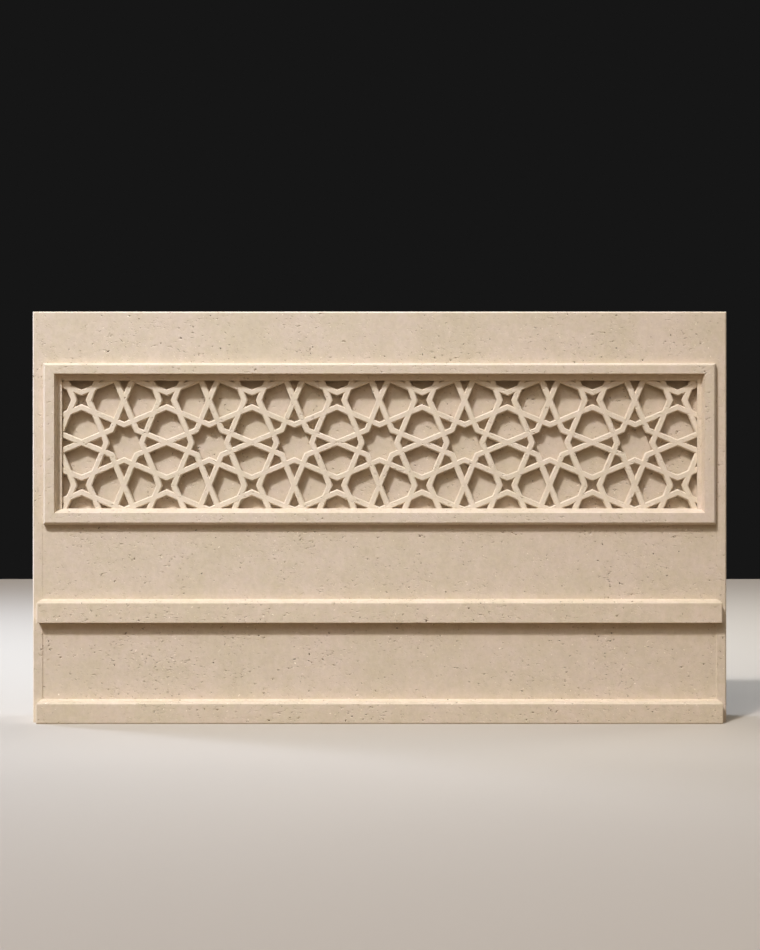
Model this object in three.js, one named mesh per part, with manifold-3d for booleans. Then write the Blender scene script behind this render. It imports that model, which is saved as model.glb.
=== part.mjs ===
// Mashrabiya facade panel: a limestone wall slab with a blind niche, a pierced star screen set
// in the niche behind a mitred frame, and two projecting courses below. Millimetres, +Z up.
// X runs along the wall, the face looks towards -Y, and the origin is at the middle of the whole
// footprint, on the ground. The solids are worked out with the wall face at y = 0 and then moved.

import * as THREE from 'three';
import { mergeVertices } from 'three/addons/utils/BufferGeometryUtils.js';
import Module from 'manifold-3d';

const wasm = await Module();
wasm.setup();

// Gap that keeps two pieces apart where they are bedded on each other.
const JOINT = 0.3;
// Length by which a cutting shape runs past the stone that it cuts.
const PAST = 5;

// Wall slab. Its face is the plane y = 0.
const WALL = { width: 1800, height: 1066, thickness: 150, arris: 3 };

// Sunk fields on the face of the slab, one above and one below the string course.
const FIELD = { halfWidth: 874.5, upperDepth: 0.5, lowerDepth: 1.6 };

// Frame round the screen: outer outline, face widths with the chamfer, the splay of the upright
// reveals, and the lip over the screen.
const FRAME = {
  halfWidth: 870.5,
  bottom: 513.5,
  top: 931.8,
  stile: 29.7,
  topRail: 28,
  bottomRail: 30.5,
  projection: 18,
  chamfer: 5.7,
  splay: 6,
  lip: 16.3,
  lipDepth: 2,
  sillRise: 11.5,
};

// Star screen: a lattice of straight bars with a plain rim that the frame hides.
const SCREEN = {
  period: 221.4,
  centreHeight: 726,
  bar: 15.8,
  thickness: 14,
  face: 8,
  halfWidth: 842,
  halfHeight: 184,
  rim: 12,
};

// Niche behind the screen, deeper than the seat of the rim.
const NICHE = { back: 29.5, clearance: 0.5 };

// Projecting courses: half length, projection, foot and head of the flat face, height at the wall.
const STRING_COURSE = { halfLength: 885, projection: 23, foot: 260.3, face: 311, head: 320.7 };
const PLINTH_COURSE = { halfLength: 886.5, projection: 26.5, foot: 0, face: 51.2, head: 61 };
// Chamfer on the upper arrises of a course, and the small one on its upright ends.
const COURSE_CHAMFER = 5.6;
const END_CHAMFER = 1.5;

// ---------------------------------------------------------------- solids

function toSolid(geometry) {
  const bare = geometry.clone();
  bare.deleteAttribute('normal');
  bare.deleteAttribute('uv');
  const merged = mergeVertices(bare, 1e-4);
  const mesh = new wasm.Mesh({
    numProp: 3,
    vertProperties: new Float32Array(merged.attributes.position.array),
    triVerts: new Uint32Array(merged.index.array),
  });
  return new wasm.Manifold(mesh);
}

function toGeometry(solid) {
  const mesh = solid.getMesh();
  const geometry = new THREE.BufferGeometry();
  geometry.setAttribute('position', new THREE.BufferAttribute(mesh.vertProperties, 3));
  geometry.setIndex(new THREE.BufferAttribute(mesh.triVerts, 1));
  geometry.computeVertexNormals();
  return geometry;
}

// Box between two corners.
function block(low, high) {
  const size = high.map((value, axis) => value - low[axis]);
  const middle = high.map((value, axis) => (value + low[axis]) / 2);
  return toSolid(new THREE.BoxGeometry(...size).translate(...middle));
}

function outline(points) {
  const shape = new THREE.Shape();
  points.forEach(([a, b], index) => (index === 0 ? shape.moveTo(a, b) : shape.lineTo(a, b)));
  shape.closePath();
  return shape;
}

// Prism whose outline is given as [x, z] points and which runs from y = front to y = back.
function prismThroughWall(points, front, back) {
  const geometry = new THREE.ExtrudeGeometry(outline(points), {
    depth: back - front,
    bevelEnabled: false,
  });
  return toSolid(geometry.rotateX(Math.PI / 2).translate(0, back, 0));
}

// Prism whose section is given as [y, z] points and which runs along X from -half to +half.
function prismAlongWall(points, half) {
  const geometry = new THREE.ExtrudeGeometry(outline(points), {
    depth: 2 * half,
    bevelEnabled: false,
  });
  geometry.applyMatrix4(new THREE.Matrix4().makeBasis(
    new THREE.Vector3(0, 1, 0),
    new THREE.Vector3(0, 0, 1),
    new THREE.Vector3(1, 0, 0),
  ));
  return toSolid(geometry.translate(-half, 0, 0));
}

// Prism whose plan is given as [x, y] points and which runs upwards from z = low to z = high.
function prismUpright(points, low, high) {
  const geometry = new THREE.ExtrudeGeometry(outline(points), {
    depth: high - low,
    bevelEnabled: false,
  });
  return toSolid(geometry.translate(0, 0, low));
}

// ---------------------------------------------------------------- wall slab

// The slab has a small chamfer on the arrises of its top and its two ends.
function slabBody() {
  const { width, height, thickness, arris } = WALL;
  const half = width / 2;
  const plan = prismUpright([
    [-half + arris, 0],
    [half - arris, 0],
    [half, arris],
    [half, thickness - arris],
    [half - arris, thickness],
    [-half + arris, thickness],
    [-half, thickness - arris],
    [-half, arris],
  ], 0, height);
  const section = prismAlongWall([
    [0, 0],
    [thickness, 0],
    [thickness, height - arris],
    [thickness - arris, height],
    [arris, height],
    [0, height - arris],
  ], half + PAST);
  return plan.intersect(section);
}

// Shallow field whose two upright edges are splayed at 45 degrees.
function sunkField(low, high, depth) {
  const half = FIELD.halfWidth;
  return prismUpright([
    [-half - PAST, -PAST],
    [half + PAST, -PAST],
    [half - depth, depth],
    [-half + depth, depth],
  ], low, high);
}

function wallSlab() {
  const seatHalfWidth = SCREEN.halfWidth + NICHE.clearance;
  const seatHalfHeight = SCREEN.halfHeight + NICHE.clearance;
  const seatBack = SCREEN.face + SCREEN.thickness + JOINT;
  const seat = block(
    [-seatHalfWidth, -PAST, SCREEN.centreHeight - seatHalfHeight],
    [seatHalfWidth, seatBack, SCREEN.centreHeight + seatHalfHeight],
  );
  const innerHalfWidth = SCREEN.halfWidth - SCREEN.rim;
  const innerHalfHeight = SCREEN.halfHeight - SCREEN.rim;
  const niche = block(
    [-innerHalfWidth, 0, SCREEN.centreHeight - innerHalfHeight],
    [innerHalfWidth, NICHE.back, SCREEN.centreHeight + innerHalfHeight],
  );
  const upperField = sunkField(STRING_COURSE.head, FRAME.bottom + FRAME.chamfer, FIELD.upperDepth);
  const lowerField = sunkField(PLINTH_COURSE.head, STRING_COURSE.foot, FIELD.lowerDepth);
  return slabBody().subtract(seat).subtract(niche).subtract(upperField).subtract(lowerField);
}

// ---------------------------------------------------------------- star screen

// Each octagon of the grid holds an eight-pointed star. Two bars leave the middle of every side,
// each turned by this angle from the line to the centre of the octagon.
const STRAP_ANGLE = Math.PI / 8;
// Distance from the centre of an octagon to the middle of its sides, in periods.
const OCTAGON_APOTHEM = 0.5;
// The same for the small square between four octagons.
const SQUARE_APOTHEM = Math.SQRT1_2 - OCTAGON_APOTHEM;

// Straps of one rosette: bars from the middle of each side to the bend on the axis between
// that side and the one `turn` further round, as pairs of [x, z] points about the centre.
function straps(apothem, sides, firstAngle, turn) {
  const bend = (apothem * Math.sin(STRAP_ANGLE)) / Math.cos(STRAP_ANGLE);
  const result = [];
  for (let side = 0; side < sides; side += 1) {
    const angle = firstAngle + (2 * Math.PI * side) / sides;
    for (const hand of [-1, 1]) {
      const axis = angle + hand * turn;
      result.push([
        [apothem * Math.cos(angle), apothem * Math.sin(angle)],
        [bend * Math.cos(axis), bend * Math.sin(axis)],
      ]);
    }
  }
  return result;
}

// One bar of the lattice as a prism, mitred to its neighbour at the bend by running on a little.
function barSolid(start, end) {
  const half = SCREEN.bar / 2;
  const along = new THREE.Vector2(end[0] - start[0], end[1] - start[1]);
  const length = along.length();
  along.normalize();
  const mitre = half * Math.tan(STRAP_ANGLE);
  const corner = (distance, side) => [
    start[0] + along.x * distance - along.y * side,
    start[1] + along.y * distance + along.x * side,
  ];
  return prismThroughWall([
    corner(-mitre, -half),
    corner(length + mitre, -half),
    corner(length + mitre, half),
    corner(-mitre, half),
  ], SCREEN.face, SCREEN.face + SCREEN.thickness);
}

function rosetteBars(segments, centre) {
  const { period, halfWidth, halfHeight } = SCREEN;
  const inside = ([x, z]) => Math.abs(x) < halfWidth && Math.abs(z) < halfHeight;
  const bars = [];
  for (const segment of segments) {
    const [start, end] = segment.map(([x, z]) => [(x + centre[0]) * period, (z + centre[1]) * period]);
    if (inside(start) || inside(end)) {
      const raise = SCREEN.centreHeight;
      bars.push(barSolid([start[0], start[1] + raise], [end[0], end[1] + raise]));
    }
  }
  return bars;
}

function starScreen() {
  const { centreHeight, face, thickness, halfWidth, halfHeight, rim, period } = SCREEN;
  const star = straps(OCTAGON_APOTHEM, 8, 0, Math.PI / 4);
  const smallStar = straps(SQUARE_APOTHEM, 4, Math.PI / 4, Math.PI / 4);
  const columns = Math.ceil(halfWidth / period);
  const rows = Math.ceil(halfHeight / period);
  const bars = [];
  for (let column = -columns; column <= columns; column += 1) {
    for (let row = -rows; row <= rows; row += 1) {
      bars.push(...rosetteBars(star, [column, row]));
      bars.push(...rosetteBars(smallStar, [column + 0.5, row + 0.5]));
    }
  }
  const panel = (inset, front, back) => block(
    [-halfWidth + inset, front, centreHeight - halfHeight + inset],
    [halfWidth - inset, back, centreHeight + halfHeight - inset],
  );
  const rimRing = panel(0, face, face + thickness).subtract(panel(rim, face - PAST, face + thickness + PAST));
  return wasm.Manifold.union(bars).intersect(panel(0, face, face + thickness)).add(rimRing);
}

// ---------------------------------------------------------------- frame

const frameInner = {
  halfWidth: FRAME.halfWidth - FRAME.stile,
  bottom: FRAME.bottom + FRAME.bottomRail,
  top: FRAME.top - FRAME.topRail,
};

// Outer body of the frame, with the chamfer all round its front.
function frameBody() {
  const { halfWidth, bottom, top, projection, chamfer } = FRAME;
  const section = prismAlongWall([
    [-projection, bottom + chamfer],
    [-projection + chamfer, bottom],
    [-JOINT, bottom],
    [-JOINT, top],
    [-projection + chamfer, top],
    [-projection, top - chamfer],
  ], halfWidth + PAST);
  const plan = prismUpright([
    [-halfWidth + chamfer, -projection],
    [halfWidth - chamfer, -projection],
    [halfWidth, -projection + chamfer],
    [halfWidth, -JOINT],
    [-halfWidth, -JOINT],
    [-halfWidth, -projection + chamfer],
  ], bottom - PAST, top + PAST);
  return section.intersect(plan);
}

// The whole ring: body, tongue let into the niche, reveal with splayed sides, lip and sloped sill.
function frameRing() {
  const tongueHalfWidth = SCREEN.halfWidth - JOINT;
  const tongueBack = SCREEN.face - JOINT;
  const tongue = block(
    [-tongueHalfWidth, -FRAME.projection / 2, SCREEN.centreHeight - SCREEN.halfHeight + JOINT],
    [tongueHalfWidth, tongueBack, SCREEN.centreHeight + SCREEN.halfHeight - JOINT],
  );
  const sillSlope = FRAME.sillRise / (FRAME.projection + tongueBack);
  const sillHeight = (y) => frameInner.bottom + sillSlope * (y + FRAME.projection);
  const front = -FRAME.projection - PAST;
  const flare = FRAME.splay / (FRAME.projection + FRAME.lipDepth);
  const revealHalfWidth = (y) => frameInner.halfWidth - flare * (y + FRAME.projection);
  const reveal = prismAlongWall([
    [front, sillHeight(front)],
    [FRAME.lipDepth, sillHeight(FRAME.lipDepth)],
    [FRAME.lipDepth, frameInner.top],
    [front, frameInner.top],
  ], revealHalfWidth(front)).intersect(prismUpright([
    [-revealHalfWidth(front), front],
    [revealHalfWidth(front), front],
    [revealHalfWidth(FRAME.lipDepth), FRAME.lipDepth],
    [-revealHalfWidth(FRAME.lipDepth), FRAME.lipDepth],
  ], FRAME.bottom, FRAME.top));
  const back = tongueBack + PAST;
  const lipOpening = prismAlongWall([
    [front, sillHeight(front)],
    [back, sillHeight(back)],
    [back, frameInner.top - FRAME.lip],
    [front, frameInner.top - FRAME.lip],
  ], frameInner.halfWidth - FRAME.lip);
  return frameBody().add(tongue).subtract(reveal).subtract(lipOpening);
}

// The four lengths of the frame, cut from the ring along the mitres. A mitre runs from the outer
// corner through the inner corner of the face, and each length keeps half a joint clear of it.
function frameLengths() {
  const { halfWidth, bottom, top, stile, topRail, bottomRail } = FRAME;
  const reach = 5;
  const gap = JOINT / 2;
  const topCorner = (side, along) => [side * (halfWidth - along * stile), top - along * topRail];
  const bottomCorner = (side, along) => [side * (halfWidth - along * stile), bottom + along * bottomRail];
  const front = -FRAME.projection - PAST;
  const back = SCREEN.face + PAST;
  const keep = (points, dx, dz) => {
    const moved = points.map(([x, z]) => [x + dx, z + dz]);
    return frameRing().intersect(prismThroughWall(moved, front, back));
  };
  const lift = gap * Math.SQRT2;
  const stileRegion = (side) => {
    const corners = [
      bottomCorner(side, -1),
      bottomCorner(side, reach),
      topCorner(side, reach),
      topCorner(side, -1),
    ];
    return side > 0 ? corners.reverse() : corners;
  };
  return {
    frame_top_rail: keep([
      topCorner(-1, -1), topCorner(-1, reach), topCorner(1, reach), topCorner(1, -1),
    ], 0, lift),
    frame_bottom_rail: keep([
      bottomCorner(1, -1), bottomCorner(1, reach), bottomCorner(-1, reach), bottomCorner(-1, -1),
    ], 0, -lift),
    frame_left_stile: keep(stileRegion(-1), -lift, 0),
    frame_right_stile: keep(stileRegion(1), lift, 0),
  };
}

// ---------------------------------------------------------------- courses

// A course has a chamfered upper arris that returns round its ends, a flat top behind it, and a
// small fillet that rises to the wall.
function course({ halfLength, projection, foot, face, head }) {
  const ledge = face + COURSE_CHAMFER;
  const fillet = head - ledge;
  const section = prismAlongWall([
    [-projection, foot],
    [-JOINT, foot],
    [-JOINT, head],
    [-JOINT - fillet, ledge],
    [-projection + COURSE_CHAMFER, ledge],
    [-projection, face],
  ], halfLength + PAST);
  const ends = prismThroughWall([
    [-halfLength, foot],
    [halfLength, foot],
    [halfLength, face],
    [halfLength - COURSE_CHAMFER, ledge],
    [halfLength - COURSE_CHAMFER - fillet, head],
    [-halfLength + COURSE_CHAMFER + fillet, head],
    [-halfLength + COURSE_CHAMFER, ledge],
    [-halfLength, face],
  ], -projection - PAST, PAST);
  const plan = prismUpright([
    [-halfLength + END_CHAMFER, -projection],
    [halfLength - END_CHAMFER, -projection],
    [halfLength, -projection + END_CHAMFER],
    [halfLength, 0],
    [-halfLength, 0],
    [-halfLength, -projection + END_CHAMFER],
  ], foot - PAST, head + PAST);
  return section.intersect(ends).intersect(plan);
}

// ---------------------------------------------------------------- assembly

const limestone = (colour, roughness) => new THREE.MeshStandardMaterial({
  color: colour,
  roughness,
  metalness: 0,
});

const pieces = {
  wall_slab: [wallSlab(), limestone(0xd8c5ae, 0.75)],
  star_screen: [starScreen(), limestone(0xdcc8ae, 0.72)],
  string_course: [course(STRING_COURSE), limestone(0xd2bda4, 0.75)],
  plinth_course: [course(PLINTH_COURSE), limestone(0xc9b59e, 0.78)],
};
for (const [name, solid] of Object.entries(frameLengths())) {
  pieces[name] = [solid, limestone(0xd5c4b0, 0.72)];
}

// Shift that brings the middle of the whole depth, plinth included, to the origin.
const group = new THREE.Group();
group.position.y = (PLINTH_COURSE.projection - WALL.thickness) / 2;
for (const [name, [solid, material]] of Object.entries(pieces)) {
  const mesh = new THREE.Mesh(toGeometry(solid), material);
  mesh.name = name;
  group.add(mesh);
}

export default group;
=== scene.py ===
import math
import random
from functools import partial

import bmesh
import bpy
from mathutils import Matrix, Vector, noise


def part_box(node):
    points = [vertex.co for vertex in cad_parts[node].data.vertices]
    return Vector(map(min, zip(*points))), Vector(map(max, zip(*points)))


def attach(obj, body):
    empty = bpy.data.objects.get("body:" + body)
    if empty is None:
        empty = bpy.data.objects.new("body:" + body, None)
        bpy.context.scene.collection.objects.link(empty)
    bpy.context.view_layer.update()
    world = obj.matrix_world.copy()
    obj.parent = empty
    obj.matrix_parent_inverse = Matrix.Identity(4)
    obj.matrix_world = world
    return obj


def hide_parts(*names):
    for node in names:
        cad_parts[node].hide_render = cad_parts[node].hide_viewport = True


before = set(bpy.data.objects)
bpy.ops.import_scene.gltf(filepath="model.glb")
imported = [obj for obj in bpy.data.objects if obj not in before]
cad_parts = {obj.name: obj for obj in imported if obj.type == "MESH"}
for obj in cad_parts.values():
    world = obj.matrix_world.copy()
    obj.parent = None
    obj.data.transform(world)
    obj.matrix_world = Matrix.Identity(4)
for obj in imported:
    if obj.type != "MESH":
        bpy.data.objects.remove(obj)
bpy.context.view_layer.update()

MM = 0.001
X_AXIS = Vector((1, 0, 0))
UP = Vector((0, 0, 1))
FRONT = Vector((0, -1, 0))

# front of the wall, worked out from the frame, which stands proud of it
FRAME_PROUD = 18 * MM
face_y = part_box("frame_top_rail")[0].y + FRAME_PROUD


def linear(hex_colour):
    """sRGB hex to linear RGBA."""
    parts = [int(hex_colour[i:i + 2], 16) / 255 for i in (1, 3, 5)]
    return tuple(c / 12.92 if c <= 0.04045 else ((c + 0.055) / 1.055) ** 2.4 for c in parts) + (1.0,)


RANGE, MIX = "ShaderNodeMapRange", "ShaderNodeMix"
MATH, VECTOR_MATH = "ShaderNodeMath", "ShaderNodeVectorMath"
NOISE, CELLS = "ShaderNodeTexNoise", "ShaderNodeTexVoronoi"


def add(tree, kind, inputs=(), output=0, **settings):
    """Adds one node with its settings. Each input is a value or the output that feeds it."""
    node = tree.nodes.new(kind)
    for name, setting in settings.items():
        setattr(node, name, setting)
    for socket, source in inputs.items() if isinstance(inputs, dict) else enumerate(inputs):
        if isinstance(source, bpy.types.NodeSocket):
            tree.links.new(source, node.inputs[socket])
        else:
            node.inputs[socket].default_value = source
    return node.outputs[output] if node.outputs else None


# ---------------------------------------------------------------- stone

# how far apart in the bed of stone the blocks were cut, in metres
BED_STEP = (3.1, 1.7, 2.3)

# the hollows of flecks and grains are this deep where the height is 1
HOLLOW_DEPTH = 0.5 * MM

# Flecks of shell, grit and open pores in the stone: spacing of the cells and half width of a fleck
# in mm, tilt in radians and stretch of the fragments, share of the cells that hold one, and the
# change of tone
FLECKS = (
    (6.0, 1.3, 0.6, 2.0, 0.66, -0.14),
    (7.5, 1.4, -0.9, 1.4, 0.44, 0.36),
    (6.5, 1.2, 0.3, 2.2, 0.50, -0.40),
    (10.0, 1.5, -0.5, 3.0, 0.46, -0.46),
    (11.0, 1.6, 1.1, 1.3, 0.36, -0.72),
)


def cloud_colour(node, bed, pink, straw):
    """Clouds of pink and straw: patches about 120 mm across, with smaller ones of 18 mm in them."""
    wide = node(NOISE, {"Vector": bed, "Scale": 1 / (120 * MM), "Detail": 3.0})
    small = node(NOISE, {"Vector": bed, "Scale": 1 / (18 * MM), "Detail": 3.0, "Roughness": 0.6})
    cloud = node(RANGE, (node(MIX, {0: 0.45, 2: wide, 3: small}), 0.40, 0.60))
    return node(MIX, {0: cloud, 6: linear(straw), 7: linear(pink)}, 2, data_type="RGBA")


def grained_shade(node, bed, grain):
    """Mottling about 30 mm and 10 mm across, and the sandy grain, as a factor on the colour."""
    mottle = node(RANGE, (node(NOISE, {"Vector": bed, "Scale": 1 / (30 * MM)}), 0.3, 0.7, 0.972, 1.028))
    dapple = node(RANGE, (node(NOISE, {"Vector": bed, "Scale": 1 / (10 * MM)}), 0.3, 0.7, 0.965, 1.035))
    shade = node(MATH, (mottle, dapple), operation="MULTIPLY")
    return node(MATH, (shade, node(RANGE, (grain, 0.25, 0.75, 0.965, 1.035))), operation="MULTIPLY")


def fleck_stone(node, bed, shade, height, figure):
    """Draws the flecks in the shade, and sinks the dark ones in the height."""
    # flecks are crooked and lie every way, so they are drawn on coordinates bent by up to about
    # 3 mm, and they gather in drifts about 100 mm across
    bend = node(NOISE, {"Vector": bed, "Scale": 1 / (8 * MM)}, "Color")
    bend = node(VECTOR_MATH, (bend, (14 * MM,) * 3, (-7 * MM,) * 3), operation="MULTIPLY_ADD")
    crooked = node(VECTOR_MATH, (bed, bend), operation="ADD")
    drift = node(NOISE, {"Vector": bed, "Scale": 1 / (100 * MM)})
    drift = node(RANGE, (drift, 0.35, 0.65, -0.42, 0.32))
    for spacing, half_width, tilt, stretch, share, tone in FLECKS:
        turned = node("ShaderNodeMapping", {"Vector": crooked, "Rotation": (tilt,) * 3,
                                            "Scale": (1 / stretch, 1, 1)})
        distance = node(CELLS, {"Vector": turned, "Scale": 1 / (spacing * MM)}, "Distance")
        chance = node("ShaderNodeSeparateColor", (distance.node.outputs["Color"],), "Red")
        breadth, depth = chance.node.outputs["Green"], chance.node.outputs["Blue"]
        held = node(RANGE, (node(MATH, (chance, drift), operation="ADD"), 1 - share, 1.02 - share))
        size = half_width / spacing
        reach = node(RANGE, (breadth, 0.0, 1.0, 0.45 * size, 1.1 * size))
        fleck = node(RANGE, (node(MATH, (reach, distance), operation="SUBTRACT"), 0.0, 0.35 * size))
        fleck = node(MATH, (fleck, held), operation="MULTIPLY")
        depth = node(RANGE, (depth, 0.0, 1.0, 0.5 * tone * figure, 1.3 * tone * figure))
        change = node(MATH, (fleck, depth, 1.0), operation="MULTIPLY_ADD")
        shade = node(MATH, (shade, change), operation="MULTIPLY")

        # a dark one has weathered back in a hollow twice as wide, so one side of it catches the light
        edge = node(MATH, (reach, 2.0), operation="MULTIPLY")
        hollow = node(RANGE, (node(MATH, (edge, distance), operation="SUBTRACT"), 0.0, 1.4 * size))
        hollow = node(MATH, (hollow, held), operation="MULTIPLY")
        height = node(MATH, (hollow, 4 * min(tone, 0.0), height), operation="MULTIPLY_ADD")
    return shade, height


def limestone(name, pink, straw, seed, roughness, figure):
    """Cream limestone, sawn and then honed: an even, matt, chalky face with cloudy pink and straw
    patches a hand wide, a sandy grain, brown flecks of shell and a few open pores. The figure says
    how strong the flecks are."""
    material = bpy.data.materials.new(name)
    material.use_nodes = True
    tree = material.node_tree
    tree.nodes.clear()
    node = partial(add, tree)
    place = node("ShaderNodeTexCoord", output="Object")

    # each material is cut from another part of the bed, so that its patches lie differently
    block = tuple(seed * step for step in BED_STEP)
    bed = node(VECTOR_MATH, (place, block), operation="ADD")

    # the sandy grain is finer than this in the stone, and is drawn 4 mm wide so that it shows
    grain = node(NOISE, {"Vector": bed, "Scale": 1 / (4 * MM), "Roughness": 0.7})
    shade = grained_shade(node, bed, grain)
    height = node(MATH, (grain, 0.2), operation="MULTIPLY")
    shade, height = fleck_stone(node, bed, shade, height, figure)

    # darker stone is also browner: the blue falls faster than the red; some spots are a little warmer
    red, green, blue = [node(MATH, (shade, power), operation="POWER") for power in (0.9, 1.05, 1.25)]
    cool = node(NOISE, {"Vector": bed, "Scale": 1 / (16 * MM), "Detail": 3.0})
    cool = node(RANGE, (cool, 0.3, 0.7, 0.978, 1.022))
    blue = node(MATH, (blue, cool), operation="MULTIPLY")
    brown = node("ShaderNodeCombineColor", (red, green, blue))
    colour = cloud_colour(node, bed, pink, straw)
    colour = node(MIX, {0: 1.0, 6: colour, 7: brown}, 2, data_type="RGBA", blend_type="MULTIPLY")

    # painted shade in the recess behind the lattice: the colour grows darker from 10 mm to 20 mm
    # inwards
    inwards = node("ShaderNodeSeparateXYZ", (place,), "Y")
    painted_recess_shade = node(RANGE, (inwards, face_y + 10 * MM, face_y + 20 * MM, 1.0, 0.9))
    # painted shade: the recess colour is scaled down to 0.9
    colour = node(VECTOR_MATH, {0: colour, "Scale": painted_recess_shade}, operation="SCALE")

    shader = node("ShaderNodeBsdfPrincipled", {
        "Base Color": colour,
        "Roughness": node(RANGE, (grain, 0.0, 1.0, roughness - 0.06, roughness + 0.06)),
        "IOR": 1.5,
        "Normal": node("ShaderNodeBump", {"Distance": HOLLOW_DEPTH, "Height": height}),
    })
    node("ShaderNodeOutputMaterial", {"Surface": shader})
    return material


wall_stone = limestone("limestone_honed_wall", "#e6d5c2", "#e0d1b9", 1, 0.66, 1.1)
screen_stone = limestone("limestone_honed_screen", "#f0e0cc", "#ecdec6", 2, 0.62, 0.5)
frame_stone = limestone("limestone_honed_frame", "#e9d8c6", "#e4d5bd", 3, 0.64, 0.8)
course_stone = limestone("limestone_honed_course", "#ead8c3", "#e3d4ba", 4, 0.66, 1.3)


# ---------------------------------------------------------------- pieces

SAME_PLANE = 0.01 * MM          # points closer than this to a plane lie in it
WELD = 0.02 * MM                # points closer than this are one point
LATTICE_WELD = 0.4 * MM         # the same where the bars of the lattice cross at a slant
FOOT_CHAMFER = 3 * MM           # on the lower front arris of the plinth course
MITRE_CLOSE = 0.13 * MM         # by which each side of a mitre is moved up to close the joint
ARRIS = math.radians(20)        # edges that turn outwards by more than this are arrises
CREASE = math.radians(36)       # edges that turn by more than this are shaded sharp
WAVER_DEPTH = 0.25 * MM         # the arrises waver inwards by up to this
WAVER_LENGTH = 30 * MM          # from one swell of an arris to the next, roughly
PORE_CELL = 7 * MM              # the narrowest cut of a face that a pore can open in
PORE_DRIFT = 160 * MM           # pores gather in drifts about this far across
BACK_PORES = 90                 # on the back of the wall slab


def whole_copy(node):
    """The CAD node's loose triangles, merged and joined into whole flat faces."""
    stone = bmesh.new()
    stone.from_mesh(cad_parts[node].data)
    bmesh.ops.remove_doubles(stone, verts=stone.verts, dist=WELD)
    bmesh.ops.dissolve_limit(stone, angle_limit=math.radians(1), use_dissolve_boundaries=False,
                             verts=stone.verts, edges=stone.edges, delimit=set())
    return stone


def knock_off_foot(stone, width):
    """Takes off the lower front arris, which gets chipped when a stone is set down."""
    low = min(v.co.z for v in stone.verts)
    front = min(v.co.y for v in stone.verts)
    foot = [e for e in stone.edges
            if all(v.co.z < low + SAME_PLANE and v.co.y < front + SAME_PLANE for v in e.verts)]
    bmesh.ops.bevel(stone, geom=foot, offset=width, offset_type="OFFSET", segments=1, profile=0.5,
                    affect="EDGES", material=-1, clamp_overlap=False)


def at_mitre(face):
    """Whether a face is the slanting end of one of the frame's four lengths."""
    return min(abs(face.normal.x), abs(face.normal.z)) > 0.3 and abs(face.normal.y) < 0.1


def ease_arrises(stone, radius):
    """Rounds the outward edges, as a rubbing stone does, but leaves the mitres sharp and tight."""
    for face in filter(at_mitre, stone.faces):
        for vert in face.verts:
            vert.co += face.normal * MITRE_CLOSE
    sharp = [e for e in stone.edges
             if e.calc_face_angle_signed(0) > ARRIS and not any(map(at_mitre, e.link_faces))]
    bmesh.ops.bevel(stone, geom=sharp, offset=radius, offset_type="OFFSET", segments=3, profile=0.5,
                    affect="EDGES", material=-1, clamp_overlap=False)


def ease_pierced_face(stone, side, width):
    """Chamfers the arrises of the lattice on one side: the flat face is lifted off, its outlines
    are drawn in and forwards by the same width, and the flat is filled again."""
    level = max(v.co.dot(side) for v in stone.verts)
    flat = [f for f in stone.faces
            if f.normal.dot(side) > 0.999 and f.verts[0].co.dot(side) > level - SAME_PLANE]
    bmesh.ops.delete(stone, geom=flat, context="FACES")
    outlines = [e for e in stone.edges if e.is_boundary]
    inwards = {}
    for vert in {v for e in outlines for v in e.verts}:
        out, on = [e.link_faces[0].normal.copy() for e in vert.link_edges if e.is_boundary]
        inwards[vert] = (out + on) / (1 + out.dot(on)) * width
        vert.co -= side * width
    made = bmesh.ops.extrude_edge_only(stone, edges=outlines)["geom"]
    outlines = [g for g in made if isinstance(g, bmesh.types.BMEdge) and g.is_boundary]
    for vert in {v for e in outlines for v in e.verts}:
        foot = next(e.other_vert(vert) for e in vert.link_edges if e.other_vert(vert) in inwards)
        vert.co = foot.co - inwards[foot] + side * width
    bmesh.ops.triangle_fill(stone, use_beauty=True, use_dissolve=False, edges=outlines, normal=side)


def cut_across(stone, axis, low, high, step, rng):
    """Cuts the faces along one axis at slightly uneven steps, so that edges can waver."""
    at = low + step * rng.uniform(0.4, 0.9)
    while at < high - 0.4 * step:
        bmesh.ops.bisect_plane(stone, geom=stone.verts[:] + stone.edges[:] + stone.faces[:], dist=1e-6,
                               plane_co=axis * at, plane_no=axis)
        at += step * rng.uniform(0.75, 1.25)


def waver(stone, depth, wavelength):
    """Sinks the points of the arrises a little, unevenly, never outwards."""
    for vert in stone.verts:
        normals = [f.normal for f in vert.link_faces]
        if min((a.dot(b) for a in normals for b in normals), default=1) < 0.95:
            swell = 0.5 + 0.5 * noise.noise(vert.co / wavelength)
            vert.co -= vert.normal * depth * max(0, swell)


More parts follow.
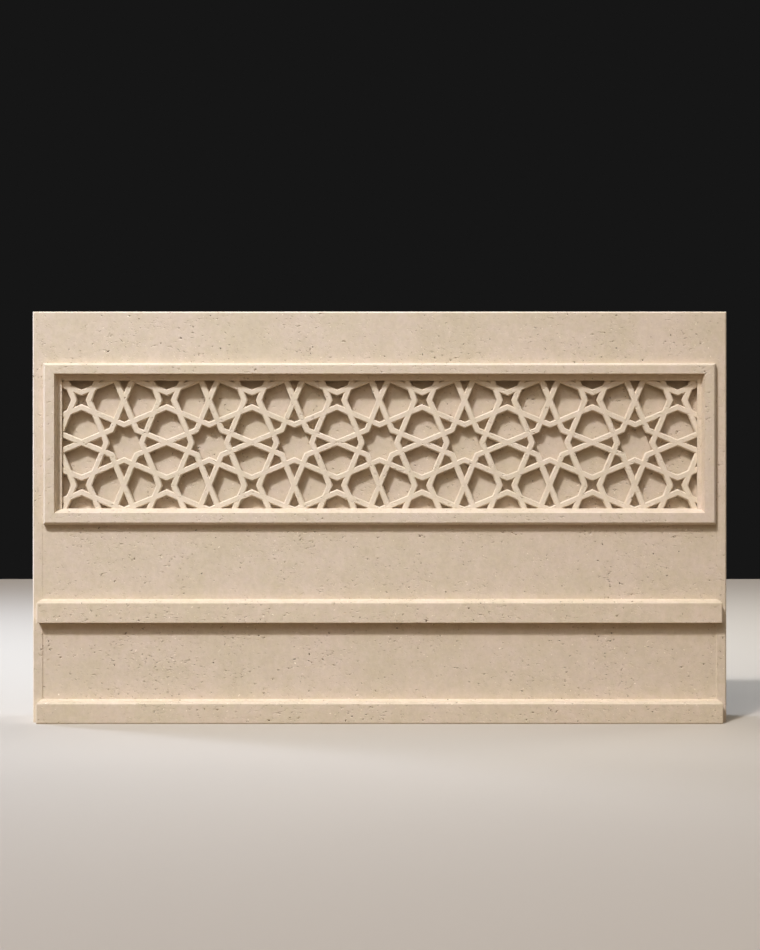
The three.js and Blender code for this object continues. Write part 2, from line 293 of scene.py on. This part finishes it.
def open_pore(stone, cell, facing, rng):
    """Sinks a small uneven oval pit in one four-sided face."""
    centre = cell.calc_center_median()
    across = facing.orthogonal().normalized()
    along = facing.cross(across)
    radius = rng.uniform(0.8, 1.9) * MM
    stretch = rng.uniform(1.0, 1.8)
    turn = rng.uniform(0, math.pi)
    middle = centre + across * rng.uniform(-1.5, 1.5) * MM + along * rng.uniform(-1.5, 1.5) * MM

    # a smaller face inside the cell gets eight corners, which go on to the outline of the pit
    bmesh.ops.inset_individual(stone, faces=[cell], thickness=1 * MM, depth=0)
    for edge in list(cell.edges):
        bmesh.utils.edge_split(edge, edge.verts[0], 0.5)
    ring = [loop.vert for loop in cell.loops]
    start = ring[0].co - centre
    first = math.atan2(start.dot(along), start.dot(across))
    way = 1 if start.cross(ring[1].co - centre).dot(facing) > 0 else -1
    for index, vert in enumerate(ring):
        angle = first + way * index * math.pi / 4
        reach = radius * rng.uniform(0.8, 1.2)
        x = math.cos(angle - turn) * reach * stretch
        z = math.sin(angle - turn) * reach
        vert.co = middle + across * (x * math.cos(turn) - z * math.sin(turn)) \
            + along * (x * math.sin(turn) + z * math.cos(turn))
    bmesh.ops.inset_individual(stone, faces=[cell], thickness=radius * 0.3,
                               depth=-radius * rng.uniform(0.5, 0.9))


def pores(stone, facing, count, rng):
    """Opens small pits in the flat faces on one side, gathered in drifts."""
    cells = [f for f in stone.faces if f.normal.dot(facing) > 0.999 and len(f.verts) == 4
             and min(e.calc_length() for e in f.edges) > PORE_CELL]
    rng.shuffle(cells)
    made = 0
    for cell in cells:
        if made == count:
            break
        if noise.noise(cell.calc_center_median() / PORE_DRIFT) >= rng.uniform(-0.5, 0.6):
            open_pore(stone, cell, facing, rng)
            made += 1


def place_stone(stone, name, node, material):
    """Turns the mesh into a piece that stands for its CAD node."""
    bmesh.ops.recalc_face_normals(stone, faces=stone.faces)
    for face in stone.faces:
        face.smooth = True
    for edge in stone.edges:
        edge.smooth = edge.calc_face_angle(0) < CREASE
    mesh = bpy.data.meshes.new(name)
    stone.to_mesh(mesh)
    stone.free()
    piece = bpy.data.objects.new(name, mesh)
    bpy.context.scene.collection.objects.link(piece)
    mesh.materials.append(material)
    piece.modifiers.new("Even normals", "WEIGHTED_NORMAL").keep_sharp = True
    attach(piece, "root")
    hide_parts(node)


# node, material, slot, radius of the arris (for the lattice, the width of its chamfer), step of the
# cuts, axes that are cut, pores in front
DRESSING = (
    ("wall_slab", wall_stone, "wall_limestone", 0.7 * MM, 16 * MM, "xz", 130),
    ("star_screen", screen_stone, "screen_limestone", 2.6 * MM, 0, "", 0),
    ("frame_top_rail", frame_stone, "frame_limestone", 0.9 * MM, 13 * MM, "x", 10),
    ("frame_bottom_rail", frame_stone, "frame_limestone", 0.9 * MM, 13 * MM, "x", 12),
    ("frame_left_stile", frame_stone, "frame_limestone", 0.9 * MM, 13 * MM, "z", 3),
    ("frame_right_stile", frame_stone, "frame_limestone", 0.9 * MM, 13 * MM, "z", 3),
    ("string_course", course_stone, "course_limestone", 0.9 * MM, 13 * MM, "xz", 36),
    ("plinth_course", course_stone, "course_limestone", 0.9 * MM, 13 * MM, "xz", 44),
)

rng = random.Random(20)
for node, material, slot, radius, step, axes, pits in DRESSING:
    low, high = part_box(node)
    stone = whole_copy(node)
    if node == "star_screen":
        bmesh.ops.remove_doubles(stone, verts=stone.verts, dist=LATTICE_WELD)
        stone.normal_update()
        ease_pierced_face(stone, FRONT, radius)
        ease_pierced_face(stone, -FRONT, radius)
    else:
        if node == "plinth_course":
            knock_off_foot(stone, FOOT_CHAMFER)
            stone.normal_update()
        ease_arrises(stone, radius)
    if "x" in axes:
        cut_across(stone, X_AXIS, low.x, high.x, step, rng)
    if "z" in axes:
        cut_across(stone, UP, low.z, high.z, step, rng)
    stone.normal_update()
    if step:
        waver(stone, WAVER_DEPTH, WAVER_LENGTH)
    stone.normal_update()
    pores(stone, FRONT, pits, rng)
    if node == "wall_slab":
        pores(stone, -FRONT, BACK_PORES, rng)
    place_stone(stone, node + "_stone", node, material)


# ---------------------------------------------------------------- studio

def lamp(name, kind, place, aim, power, colour, **settings):
    """Hangs one lamp at its place, turned to its aim, both in metres."""
    light = bpy.data.lights.new(name, kind)
    light.energy = power
    light.color = linear(colour)[:3]
    for key, value in settings.items():
        setattr(light, key, value)
    stand = bpy.data.objects.new(name, light)
    stand.location = place
    stand.rotation_euler = (Vector(aim) - Vector(place)).to_track_quat("-Z", "Y").to_euler()
    bpy.context.scene.collection.objects.link(stand)


# way that the key light travels, and the angle that its source covers
KEY_WAY = Vector((0.339, 0.563, -0.754)).normalized()
SOFTNESS = math.radians(7.5)
# the key is a far window: an even part, a pool of light whose middle is up to the left of the
# panel, so that it falls off to the right and downwards, and the soft glow of the blind round it
FAR = 30                        # metres from the window to the middle of the pool
POOL = 1.9                      # metres from the middle of the pool to its rim
pool_at = Vector((-1.5, face_y, 3.05))
lamp("key_even", "SUN", -KEY_WAY, (0, 0, 0), 1.20, "#ffe7d8", angle=SOFTNESS)
lamp("key_pool", "SPOT", pool_at - KEY_WAY * FAR, pool_at, 73700, "#e6f3ff",
     shadow_soft_size=FAR * math.tan(SOFTNESS / 2), spot_size=2 * math.atan(POOL / FAR), spot_blend=1.0)
lamp("key_halo", "SUN", -KEY_WAY, (0, 0, 0), 1.00, "#ffffff", angle=math.radians(40))
# soft box over the panel, for the ledges
lamp("overhead", "AREA", (0, -0.8, 3.2), (0, face_y, 0.6), 4.6, "#ceedff", shape="DISK", size=1.6)
# big soft box over and behind the camera
lamp("front_fill", "AREA", (0, -5.5, 3.2), (0, face_y, 0.5), 42, "#ffe4c7", shape="DISK", size=4.0)
# soft box behind on the left, for the left arris, the end and the back
lamp("rim", "AREA", (-5.2, 2.4, 0.9), (-0.9, 0, 0.6), 420, "#dce6ff", shape="DISK", size=1.2)
# small soft box high up behind, for the top arris
lamp("top_rim", "AREA", (0, 0.35, 2.7), (0, 0, 1.0), 26, "#e8f0ff", shape="DISK", size=0.8)
# weak soft box behind on the right
lamp("back", "AREA", (4.5, 2.6, 2.0), (0.9, 0, 0.6), 60, "#fff4e6", shape="DISK", size=2.0)

FLOOR_WIDTH = 12                # metres
floor_sheet = bpy.data.meshes.new("floor")
shape = bmesh.new()
bmesh.ops.create_grid(shape, x_segments=1, y_segments=1, size=FLOOR_WIDTH / 2)
shape.to_mesh(floor_sheet)
shape.free()
floor = bpy.data.objects.new("floor", floor_sheet)
bpy.context.scene.collection.objects.link(floor)
paint = bpy.data.materials.new("floor_paint")
paint.use_nodes = True
paint_shader = paint.node_tree.nodes["Principled BSDF"]
paint_shader.inputs["Base Color"].default_value = linear("#c4beb4")
paint_shader.inputs["Roughness"].default_value = 0.8
floor_sheet.materials.append(paint)

# the light that a floor throws up comes from the lower half of the surroundings, evenly
floor.visible_diffuse = floor.visible_shadow = False

# surroundings: warm bounce from below, a dark grey wall all round, a dim cool ceiling
WALL_GREY, BOUNCE, CEILING = "#161616", "#9d866b", "#3f4646"
world = bpy.data.worlds.new("studio")
world.use_nodes = True
tree = world.node_tree
tree.nodes.clear()
rise = add(tree, "ShaderNodeTexCoord", output="Generated")
rise = add(tree, "ShaderNodeSeparateXYZ", (rise,), "Z")
below = add(tree, RANGE, (rise, -0.25, -0.65))
above = add(tree, RANGE, (rise, 0.35, 0.75))
glow = add(tree, MIX, {0: below, 6: linear(WALL_GREY), 7: linear(BOUNCE)}, 2, data_type="RGBA")
glow = add(tree, MIX, {0: above, 6: glow, 7: linear(CEILING)}, 2, data_type="RGBA")
glow = add(tree, "ShaderNodeBackground", {"Color": glow})
add(tree, "ShaderNodeOutputWorld", {"Surface": glow})
bpy.context.scene.world = world
bpy.context.scene.view_settings.view_transform = "Standard"

# the eye looks square on, from a little above the middle of the panel
EYE_ASIDE = 1.1 * MM
EYE_AWAY = 4.4                  # metres in front of the wall
EYE_HEIGHT = 0.642
camera = bpy.data.cameras.new("camera")
camera.lens = 64.28
camera.sensor_width = 36
camera.clip_start, camera.clip_end = 0.1, 100
viewer = bpy.data.objects.new("camera", camera)
viewer.location = (EYE_ASIDE, face_y - EYE_AWAY, EYE_HEIGHT)
viewer.rotation_euler = (math.radians(90), 0, 0)
bpy.context.scene.collection.objects.link(viewer)
bpy.context.scene.camera = viewer
